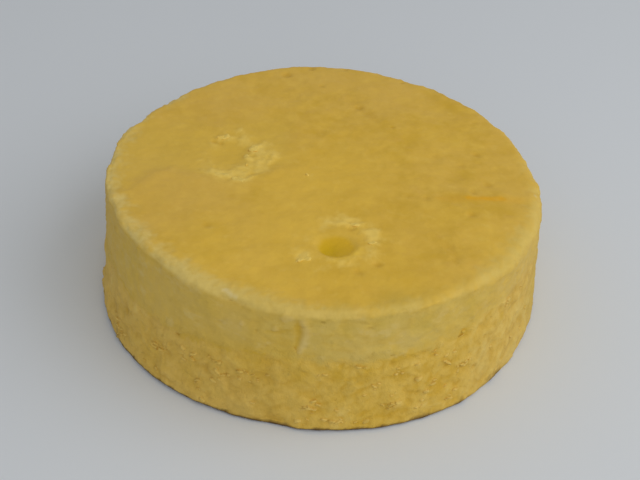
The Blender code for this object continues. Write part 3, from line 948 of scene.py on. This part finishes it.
def creamFinish():
    colours = {**layerColours, **creamColours}
    material, g, surface = newFinish("creamFinish")
    place = objectPlace(g)
    mottle = g.grain(place, 15 * mm, 3.0, 0.55)
    blotch = g.grain(place, 4.5 * mm, 3.0, 0.55)
    broken = g.grain(place, 4.5 * mm, 3.0, 0.6)
    fine = g.grain(place, 1.1 * mm, 3.0, 0.6)
    warm = g.grain(place + (0.1, 0.3, 0.2), 4.5 * mm, 4.0, 0.65)
    toRight = place.part("X") * (1 / (60 * mm))
    rightRim = g.ease(0.1, 0.8, toRight)
    uneven = 0.55 - rightRim * 0.35
    rim = g.paint(
        colours, "rim",
        # left rim paler, with painted light
        (g.ease(0.1, 0.9, -toRight), "leftRimPaleAndLit"),
        (rightRim, "rightRim"),
        (g.ease(0.0, 1.0, blotch) * uneven, "creamDeep"),
        (g.ease(0.0, 1.2, -broken) * uneven, "creamGold"),
    )
    skin = g.paint(
        colours, "deepGold",
        (g.ease(-1.0, 1.0, mottle * 0.95 + blotch * 0.55 + fine * 0.12), "paleGold"),
        (g.ease(0.0, 1.2, warm) * 0.55, "tan"),
        ((g.field("lighter") * 0.85 + blotch * 0.25).clipped(), "sunny"),
        (g.frayed("paler", mottle * 0.3) * 0.68, "bloom"),
        ((-g.field("paler") + mottle * 0.25).clipped() * 0.45, "honey"),
        (g.field("thinSkin") * 0.6, "thin"),
        (g.field("streakTone"), "streak"),
        # painted shade in creases and dents
        (g.field("grooveShade") * 0.5, "grooveShade"),
    )
    # the pit's colour, with painted shade in its deepest part
    pitTone = g.paint(colours, "pit", (g.field("pitDeep"), "pitDeep"))
    wetAndHighlight = g.field("wetAndHighlight")
    colour = g.paint(
        colours, wallTones(g, place),
        (g.field("topSide"), rim),
        (g.field("skin"), skin),
        # painted shade on the shoulder
        (g.frayed("rimShade", blotch * 0.1) * 0.5, "dullShade"),
        (g.field("hollowFloor") * 0.8, "hollow"),
        (g.field("torn") * 0.95, "torn"),
        (g.field("flapTone"), "flap"),
        # painted highlight on the lips of the pit
        (g.frayed("lip", blotch * 0.2) * 0.8, "lip"),
        (g.field("pitFloor"), pitTone),
        (g.field("crackShade") * 0.6, "crackShade"),
        (g.field("milky") * 0.55, "milky"),
        # painted highlight on the wet smear and the glint
        (wetAndHighlight * 0.7, "wetAndHighlight"),
    )
    bumps = g.grain(place, 0.5 * mm, 2.0) + g.grain(place, 1.3 * mm, 2.0) * 1.5
    bumps = bumps * (1.0 - g.field("skin") * 0.45)
    rough, unevenly = finishLooks["creamRough"]
    roughness = rough + fine * unevenly - wetAndHighlight * finishLooks["wetSmoother"]
    dress(g, surface, colour, roughness, bumps, *finishLooks["creamBumps"])
    return material


def baseFinish():
    material, g, surface = newFinish("baseFinish")
    place = objectPlace(g)
    colour = g.paint(layerColours, wallTones(g, place), (g.field("scorchAndShadow"), "scorchAndShadow"))
    rough, unevenly = finishLooks["baseRough"]
    roughness = rough + g.grain(place, 0.9 * mm, 2.0, 0.6) * unevenly
    bumps = g.grain(place, 0.4 * mm, 2.0) + g.grain(place, 1.0 * mm, 2.0, 0.6)
    dress(g, surface, colour, roughness, bumps, *finishLooks["baseBumps"])
    return material


baseForm = {
    "sides": 960,
    "wallRows": 46,
    "footRound": 1.2 * mm,
    "footTurns": (0, 30, 60),
    "footPush": 0.3,
    "footFlare": 0.35 * mm,
    "flareHeights": (2 * mm, 10 * mm),
    # rings of the underside: every how many sides, and share of the radius
    "underRings": ((16, 0.14), (8, 0.28), (4, 0.55), (2, 0.8)),
    # heights at which the wall of the solid is measured: above its foot and below the seam
    "castAbove": 0.8 * mm,
    "castBelow": 0.5 * mm,
    # crumb that laps over the cream's wall, with the widths and seeds of its ragged edge
    "lapLow": 1.6 * mm,
    "lapHigh": 4.2 * mm,
    "lapThick": 0.05 * mm,
    "lapDip": 0.25 * mm,
    "lapDipHeight": 1.0 * mm,
    "lapWaves": ((9, 7), (41, 8)),
    "lapStart": (-2.5 * mm, 0.3 * mm),
    "creamAbove": 0.6 * mm,
    # how far the hidden back of the lap lies inside the cream's wall, above and at the seam
    "tuckAbove": 0.6 * mm,
    "tuckDrop": 0.1 * mm,
    "tuckSeam": 0.8 * mm,
    "seamDrop": 0.15 * mm,
    "evenings": 5,
    "evenHeights": (3.5 * mm, 8 * mm),
    "evenRight": 0.75,
    # least share of the browned edge and painted contact shadow round the foot
    "burntLeast": 0.25,
}


def raggedRing(sides, width, seed):
    # smoothed random numbers round a ring, about -1 to 1
    values = np.tile(np.random.default_rng(seed).normal(size=sides), 3)
    values = np.convolve(values, np.hanning(width), "same")[sides:2 * sides]
    return values / values.std()


def evenSides(points):
    # the crumb is pressed smooth at the left, above its foot, and at the right
    left = lookOf(points, "evenLeft") * easeArray(*baseForm["evenHeights"], points[:, 2])
    return np.maximum(left, baseForm["evenRight"] * lookOf(points, "evenRight"))


def layBase():
    form = baseForm
    angles = anglesOf(form["sides"])
    seam = seamFromFrame(angles)
    wander = sum(0.5 * raggedRing(form["sides"], width, seed) for width, seed in form["lapWaves"])
    lap = form["lapLow"] + (form["lapHigh"] - form["lapLow"]) * easeArray(-1.0, 1.6, wander)
    share = np.linspace(0, 1, form["wallRows"])[:, None]
    heights = form["footRound"] + share * (seam + lap - form["footRound"])
    inside = np.clip(heights, form["castAbove"], seam - form["castBelow"])
    radii = evened(castWall("baked_base", angles, inside), form["evenings"])
    # above the seam the crumb lies on the cream's wall, thinner than a hair
    beside = np.maximum(seam + form["creamAbove"], heights)
    creamWall = evened(castWall("cream_layer", angles, beside), form["evenings"])
    low, high = form["lapStart"]
    over = easeArray(seam + low, seam + high, heights)
    radii = radii + (creamWall + form["lapThick"] - radii) * over
    # and its edge dips into the cream, so that it ends without a step
    dip = easeArray(heights[-1] - form["lapDipHeight"], heights[-1], heights)
    radii = radii - form["lapDip"] * dip
    radii = radii + form["footFlare"] * (1 - easeArray(*form["flareHeights"], heights))
    foot = radii[0] - form["footRound"]
    rings = []
    for divide, part in form["underRings"]:
        rings.append(ringAt(foot[::divide] * part, 0.0, angles[::divide], (0, 0)))
    for turn in form["footTurns"]:
        inset = form["footRound"] * (1 - math.sin(math.radians(turn)))
        rise = form["footRound"] * (1 - math.cos(math.radians(turn)))
        push = form["footPush"] * turn / form["footTurns"][-1]
        rings.append(ringAt(radii[0] - inset, rise, angles, (push, 0)))
    rings += [ringAt(radii[row], heights[row], angles, (1, 0)) for row in range(form["wallRows"])]
    rings.append(ringAt(creamWall[-1] - form["tuckAbove"], heights[-1] - form["tuckDrop"], angles, (0, 0)))
    tucked = creamWall[0] - form["tuckSeam"]
    rings.append(ringAt(tucked, seam - form["seamDrop"], angles, (0, 0)))
    rings += seamRings(tucked, seam, -form["seamDrop"])
    host, points = ringSolid("baseHost", rings)
    addLayerFields(host.data, points, angles, seam)
    charred = wallField(cloudField, points, wallMarks["charred"])
    least = form["burntLeast"]
    setField(host.data, "charred", charred)
    setField(host.data, "burntAndShaded", np.maximum(least + (1 - least) * lookOf(points, "burntAndShaded"), charred))
    setField(host.data, "footBite", wallField(cloudField, points, wallMarks["footBite"]))
    setField(host.data, "even", evenSides(points))
    setField(host.data, "hole", wallField(spotField, points, wallMarks["hole"]))
    setField(host.data, "seamCrack", np.abs(wallField(pathField, points, wallMarks["seamCrack"])))
    return host


baseRelief = {
    **wallRelief,
    "Grain": 0.06 * mm,
    "Hole Depth": 0.7 * mm,
    "Crack Depth": 0.20 * mm,
    "Foot Wander": 0.50 * mm,
    "Foot Bite": 1.1 * mm,
}


def baseTree(material):
    g = ShapeGraph("baseRelief", baseRelief)
    place = g.place()
    push = g.read("push", "FLOAT_VECTOR")
    height = place.part("Z")
    share = creamShare(g, place, g.read("aboveSeam"), g.read("crumby"))
    wall, raised, nick = wallShape(g, place, share, g.read("crumby"))
    fine = g.grain(place, 0.8 * mm, 2.0)
    below = g.fade(-1.5, 0.0, g.read("aboveSeam"))
    pocket = g.ease(0.55, 1.05, g.grain(place * (1.0, 1.0, 1.7), 3.6 * mm, 2.0, 0.6)) * below
    hole = g.ease(-0.1, 0.5, g.read("hole") + fine * 0.15)
    crack = g.fade(0.0, 1.7, g.read("seamCrack") + fine * 0.7)
    calm = g.ease(0.2 * mm, 2.2 * mm, height)
    ragged = g.grain(place, 2.6 * mm, 3.0, 0.6)
    relief = wall + g.inlet("Grain") * fine * below
    relief = relief - g.inlet("Hole Depth") * (pocket * 0.45 + hole).atMost(1.0)
    relief = relief - g.inlet("Crack Depth") * crack * below
    relief = relief * (0.55 + calm * 0.45) * (1.0 - g.read("even") * below * 0.7)
    gap = g.ease(-0.2, 0.9, g.grain(place * (1.0, 1.0, 0.3), 9 * mm, 3.0, 0.6))
    gap = gap * g.fade(1 * mm, 6 * mm, height)
    relief = relief - g.inlet("Foot Wander") * gap - g.read("footBite") * g.inlet("Foot Bite")
    # browned foot edge with painted contact shadow
    scorchAndShadow = g.fade(0.6 * mm, 1.4 * mm, height + ragged * (0.5 * mm))
    char = g.ease(0.25, 1.0, g.read("charred") + g.grain(place, 1.3 * mm, 2.0) * 0.6)
    return g.close(g.keep(g.move(g.inlet("Geometry"), push * relief), {
        "raised": raised,
        # painted shade in pockets, holes, the seam crack and nicks
        "grooveShade": (pocket * 0.35 + hole * 0.9 + crack * 0.7 + nick * 0.5).clipped(),
        "scorchAndShadow": (scorchAndShadow * g.read("burntAndShaded") + char * 0.38).clipped(),
    }), material)


baseCrumbs = {
    "Density": 0.70e6,
    "Smallest": 0.45 * mm,
    "Largest": 1.20 * mm,
    "Length": 1.2,
    "Thickness": 0.32,
    "Jag": 0.9 * mm,
}

tornCrumbs = {
    "Density": 0.035e6,
    "Smallest": 0.30 * mm,
    "Largest": 0.70 * mm,
    "Length": 1.2,
    "Thickness": 0.4,
    "Jag": 0.8 * mm,
}


crumbLooks = {
    # rounded block of few faces: its side before the rounding and how round it gets
    "side": 1.4,
    "rounded": 0.65,
    "jagSize": 0.7 * mm,
    "patches": 6 * mm,
    "leastShare": 0.5,
    "width": 0.8,
    # how far a crumb leans both ways and turns from the wall, in radians
    "leans": (0.5, 0.4, 0.4),
}


def crumbBlock(g):
    side, rounded = crumbLooks["side"], crumbLooks["rounded"]
    place = g.place()
    block = g.add("GeometryNodeMeshCube",
                  {"Size": (side, side, side), "Vertices X": 3, "Vertices Y": 3, "Vertices Z": 3})
    spot = place * (1.0 - rounded) + place.normalized() * rounded
    return g.add("GeometryNodeSetPosition", {"Geometry": block, "Position": spot})


def scatterCrumbs(name, sizes, host, shed, seed, tones):
    # crumbs half sunk in a finished piece, thicker where shed is high
    look = crumbLooks
    setField(host.data, "shed", shed)
    g = ShapeGraph(name, sizes)
    place = g.place()
    gathered = g.ease(0.0, 1.0, g.grain(place, look["patches"], 2.0))
    density = g.read("shed") * g.inlet("Density") * gathered
    cloud = g.add("GeometryNodeDistributePointsOnFaces",
                  {"Mesh": g.inlet("Geometry"), "Density": density, "Seed": seed}, "Points")
    size = g.randomNumber(g.inlet("Smallest"), g.inlet("Largest"), seed + 1)
    size = size * g.randomNumber(look["leastShare"], 1.0, seed + 2)
    shape = g.add("ShaderNodeCombineXYZ",
                  {0: size * look["width"], 1: size * g.inlet("Length"), 2: size * g.inlet("Thickness")})
    leans = [g.randomNumber(-most, most, seed + 3 + axis) for axis, most in enumerate(look["leans"])]
    facing = place.calc("ARCTAN2", place.part("Y"), place.part("X"))
    turn = g.add("ShaderNodeCombineXYZ", {0: leans[0], 1: leans[1], 2: facing + leans[2]})
    crumbs = g.scatter(cloud, crumbBlock(g), turn, shape)
    crumbs = g.keep(g.move(crumbs, g.jitter(look["jagSize"], 1.0)), tones)
    return g.close(crumbs, host.data.materials[0]).run(host, name)


tornFlaps = {
    # x, y, length, width and thickness in millimetres, heading and lift in degrees
    "places": (
        (-4.9, -37.4, 3, 1.3, 0.5, -25, 6), (-4.9, -39.3, 2.6, 1, 0.45, 25, 5),
        (-3.2, -38.2, 2.6, 2, 0.6, 80, 3), (8.4, -22.8, 3, 1.2, 0.4, 14, 1),
        (13, -29.8, 2.6, 1.2, 0.4, 20, 2), (-21, 9, 3.2, 2.6, 0.5, 60, 2),
        (-22.6, 5, 2.4, 1.6, 0.4, 100, 2), (-28.6, -5, 4.4, 1.8, 0.5, -4, 2),
        (-23.4, -6.8, 4.4, 2.2, 0.5, -22, 2), (-29.6, 14, 3.2, 2, 0.5, 35, 2),
    ),
    "rise": -0.10 * mm,
    "jag": 0.9 * mm,
    "jagSize": 1.3 * mm,
    "above": 1.0,  # height from which the surface below is sought
}


def layFlaps(surface, material):
    # torn flaps at chosen places, each a ragged tongue that rests on the surface
    tree = surfaceTree(surface.data)
    places, turns, scales = [], [], []
    for x, y, length, width, thickness, heading, lift in tornFlaps["places"]:
        ground = tree.ray_cast(Vector((x * mm, y * mm, tornFlaps["above"])), Vector((0, 0, -1)))[0]
        places.append((x * mm, y * mm, ground.z + tornFlaps["rise"]))
        turns.append((0.0, math.radians(-lift), math.radians(heading)))
        scales.append((0.5 * length * mm, 0.5 * width * mm, 0.5 * thickness * mm))
    mesh = bpy.data.meshes.new("flapHost")
    mesh.from_pydata(places, [], [])
    setField(mesh, "turn", np.array(turns))
    setField(mesh, "size", np.array(scales))
    host = placeObject("flapHost", mesh)

    g = ShapeGraph("tornFlaps", {"Jag": tornFlaps["jag"]})
    ball = g.add("GeometryNodeMeshIcoSphere", {"Radius": 1.0, "Subdivisions": 4})
    points = g.add("GeometryNodeMeshToPoints", {"Mesh": g.inlet("Geometry")})
    flaps = g.scatter(points, ball, g.read("turn", "FLOAT_VECTOR"), g.read("size", "FLOAT_VECTOR"))
    flaps = g.move(flaps, g.jitter(tornFlaps["jagSize"], 2.0))
    flaps = g.keep(flaps, {"topSide": 1.0, "flapTone": 0.85})
    piece = g.close(flaps, material).run(host, "tornFlaps")
    bpy.data.objects.remove(host)
    return piece


cameraView = {
    "place": (0.0, -0.2662, 0.2176),
    "aim": (-0.0005, -0.0074, 0.0174),
    "roll": 4.35,  # degrees
    "lens": 66.1,
    "sensor": 36.0,
}

studio = {
    "floorColour": (0.76, 0.79, 0.82),
    "floorRough": 0.8,
    "floorHalf": 3.0,
    # place, size and power
    "keyLight": ((0.56, -0.11, 0.49), 0.80, 2.14),
    "fillLight": ((0.067, -0.638, 0.38), 0.60, 0.81),
    "sky": 0.40,
    "skyColour": (0.96, 0.98, 1.0),
}


def setCamera():
    view = cameraView
    data = bpy.data.cameras.new("camera")
    data.lens = view["lens"]
    data.sensor_width = view["sensor"]
    camera = placeObject("camera", data)
    camera.location = view["place"]
    toward = Vector(view["aim"]) - Vector(view["place"])
    look = toward.to_track_quat("-Z", "Y") @ Quaternion((0, 0, 1), math.radians(view["roll"]))
    camera.rotation_euler = look.to_euler()
    bpy.context.scene.camera = camera


def addLight(name):
    place, size, power = studio[name]
    data = bpy.data.lights.new(name, "AREA")
    data.size = size
    data.energy = power
    lamp = placeObject(name, data)
    lamp.location = place
    lamp.rotation_euler = (-Vector(place)).to_track_quat("-Z", "Y").to_euler()


def setStage():
    half = studio["floorHalf"]
    mesh = bpy.data.meshes.new("floor")
    corners = [(-half, -half, 0), (half, -half, 0), (half, half, 0), (-half, half, 0)]
    mesh.from_pydata(corners, [], [(0, 1, 2, 3)])
    floor = placeObject("floor", mesh)
    material = bpy.data.materials.new("floorFinish")
    material.use_nodes = True
    surface = material.node_tree.nodes["Principled BSDF"]
    surface.inputs["Base Color"].default_value = (*studio["floorColour"], 1.0)
    surface.inputs["Roughness"].default_value = studio["floorRough"]
    mesh.materials.append(material)
    addLight("keyLight")
    addLight("fillLight")
    world = bpy.data.worlds.new("studioSky")
    bpy.context.scene.world = world
    world.use_nodes = True
    sky = world.node_tree.nodes["Background"]
    sky.inputs["Color"].default_value = (*studio["skyColour"], 1.0)
    sky.inputs["Strength"].default_value = studio["sky"]
    bpy.context.scene.view_settings.view_transform = "Standard"


def fieldOf(piece, name):
    values = np.empty(len(piece.data.vertices), np.float32)
    piece.data.attributes[name].data.foreach_get("value", values)
    return values


crumbPlaces = {
    # in millimetres: from the axis, so that only the outer wall counts, from the seam and from the floor
    "fromAxis": 55.0,
    "fromSeam": (-3.0, -0.5),
    "crumbyHigher": 4.0,
    "fromFloor": (1.2, 2.6),
    "darkFromFloor": (0.4, 0.9),
    "darkTimes": 2.0,
    "fewer": 0.8,
}


def shedOf(base):
    # crumbs stand out of the crumbly wall, fewer at both sides, and gather at the dark foot
    where = crumbPlaces
    co = np.empty(len(base.data.vertices) * 3, np.float32)
    base.data.vertices.foreach_get("co", co)
    place = co.reshape(-1, 3) / mm
    outside = np.hypot(*place[:, :2].T) > where["fromAxis"]
    above = fieldOf(base, "aboveSeam") - where["crumbyHigher"] * fieldOf(base, "crumby")
    low = 1 - easeArray(*where["fromSeam"], above)
    few = 1 - where["fewer"] * lookOf(place, "fewLeft")
    few = few * (1 - where["fewer"] * lookOf(place, "fewRight"))
    few = few * (1 - fieldOf(base, "even"))
    shed = easeArray(*where["fromFloor"], place[:, 2]) * outside * low * few
    dark = where["darkTimes"] * fieldOf(base, "charred") * outside
    return np.maximum(shed, dark * easeArray(*where["darkFromFloor"], place[:, 2]))


setCamera()
setStage()

creamHost = layCream()
cream = creamTree(creamFinish()).run(creamHost, "creamBody")
showPiece(cream, "browned_cream", "cream_layer")
print("cream laid")

baseHost = layBase()
base = baseTree(baseFinish()).run(baseHost, "crumbBase")
showPiece(base, "golden_crumb", "baked_base")
print("base laid")

# the crumbs take the lit, paler end of the painted relief shading, and no painted groove shade
crumbTones = {"raised": 1.2, "grooveShade": 0.0}
crumbs = scatterCrumbs("baseCrumbs", baseCrumbs, base, shedOf(base), seed=11, tones=crumbTones)
showPiece(crumbs, "golden_crumb")
tornTones = {"torn": 0.9, "grooveShade": 0.0}
torn = scatterCrumbs("tornCrumbs", tornCrumbs, cream, fieldOf(cream, "torn"), seed=23, tones=tornTones)
showPiece(torn, "browned_cream")
showPiece(layFlaps(cream, cream.data.materials[0]), "browned_cream")
print("crumbs scattered")

for host in (creamHost, baseHost):
    bpy.data.objects.remove(host)
